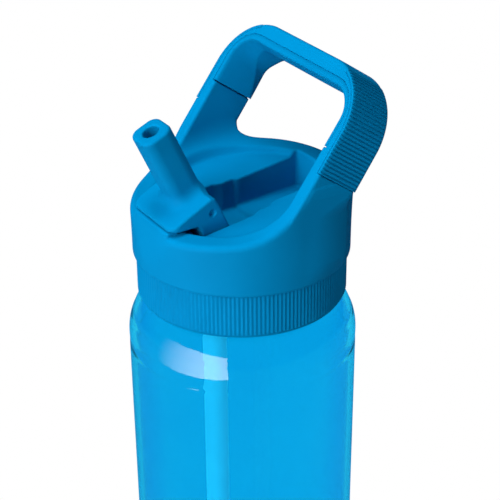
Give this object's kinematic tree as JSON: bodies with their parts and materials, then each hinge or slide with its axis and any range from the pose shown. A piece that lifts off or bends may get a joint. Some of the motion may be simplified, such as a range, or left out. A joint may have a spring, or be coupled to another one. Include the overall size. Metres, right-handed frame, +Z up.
{
  "type": "flip-spout sports bottle",
  "caption": "Clear screw-top drinking bottle with a ribbed lid, a leaning carry loop and a flip-up drinking spout fed by a straw.",
  "frame": {"origin": "centre of the bottle's base, on the surface that it stands on", "axes": "+Z up along the bottle; -Y is the front, where the spout opens; the carry loop leans to +Y"},
  "size_m": [0.076, 0.076, 0.2671],
  "materials": {
    "clear_blue": "clear tinted copolyester, polished",
    "lid_plastic": "fine satin moulded polypropylene",
    "soft_grip": "matte soft elastomer",
    "silicone": "matte translucent silicone",
    "straw_plastic": "milky translucent tube",
    "pin_steel": "ground pin"
  },
  "bodies": {
    "bottle": {"bottle_body": "clear_blue"},
    "seal_carrier": {"main_gasket": "silicone"},
    "lid": {"inner_cap": "lid_plastic", "vent_valve": "silicone", "spout_seal": "silicone", "straw": "straw_plastic", "lid_cover": "lid_plastic", "grip_liner": "soft_grip", "grip_left": "soft_grip", "grip_right": "soft_grip"},
    "spout": {"flip_spout": "lid_plastic", "hinge_pins": "pin_steel"}
  },
  "joints": [
    {"name": "lid_rise", "type": "slide", "parent": "bottle", "child": "seal_carrier", "axis": [0, 0, 1], "range_m": [0, 0.006]},
    {"name": "lid_turn", "type": "hinge", "parent": "seal_carrier", "child": "lid", "pos_m": [0, 0, 0.187], "axis": [0, 0, 1], "range_deg": [0, 540]},
    {"name": "spout_flip", "type": "hinge", "parent": "lid", "child": "spout", "pos_m": [0, -0.0162, 0.2155], "axis": [-1, 0, 0], "range_deg": [0, 111.4]}
  ],
  "couplings": [
    {"joint": "lid_rise", "follows": "lid_turn", "m_per_rad": 0.00063662}
  ]
}
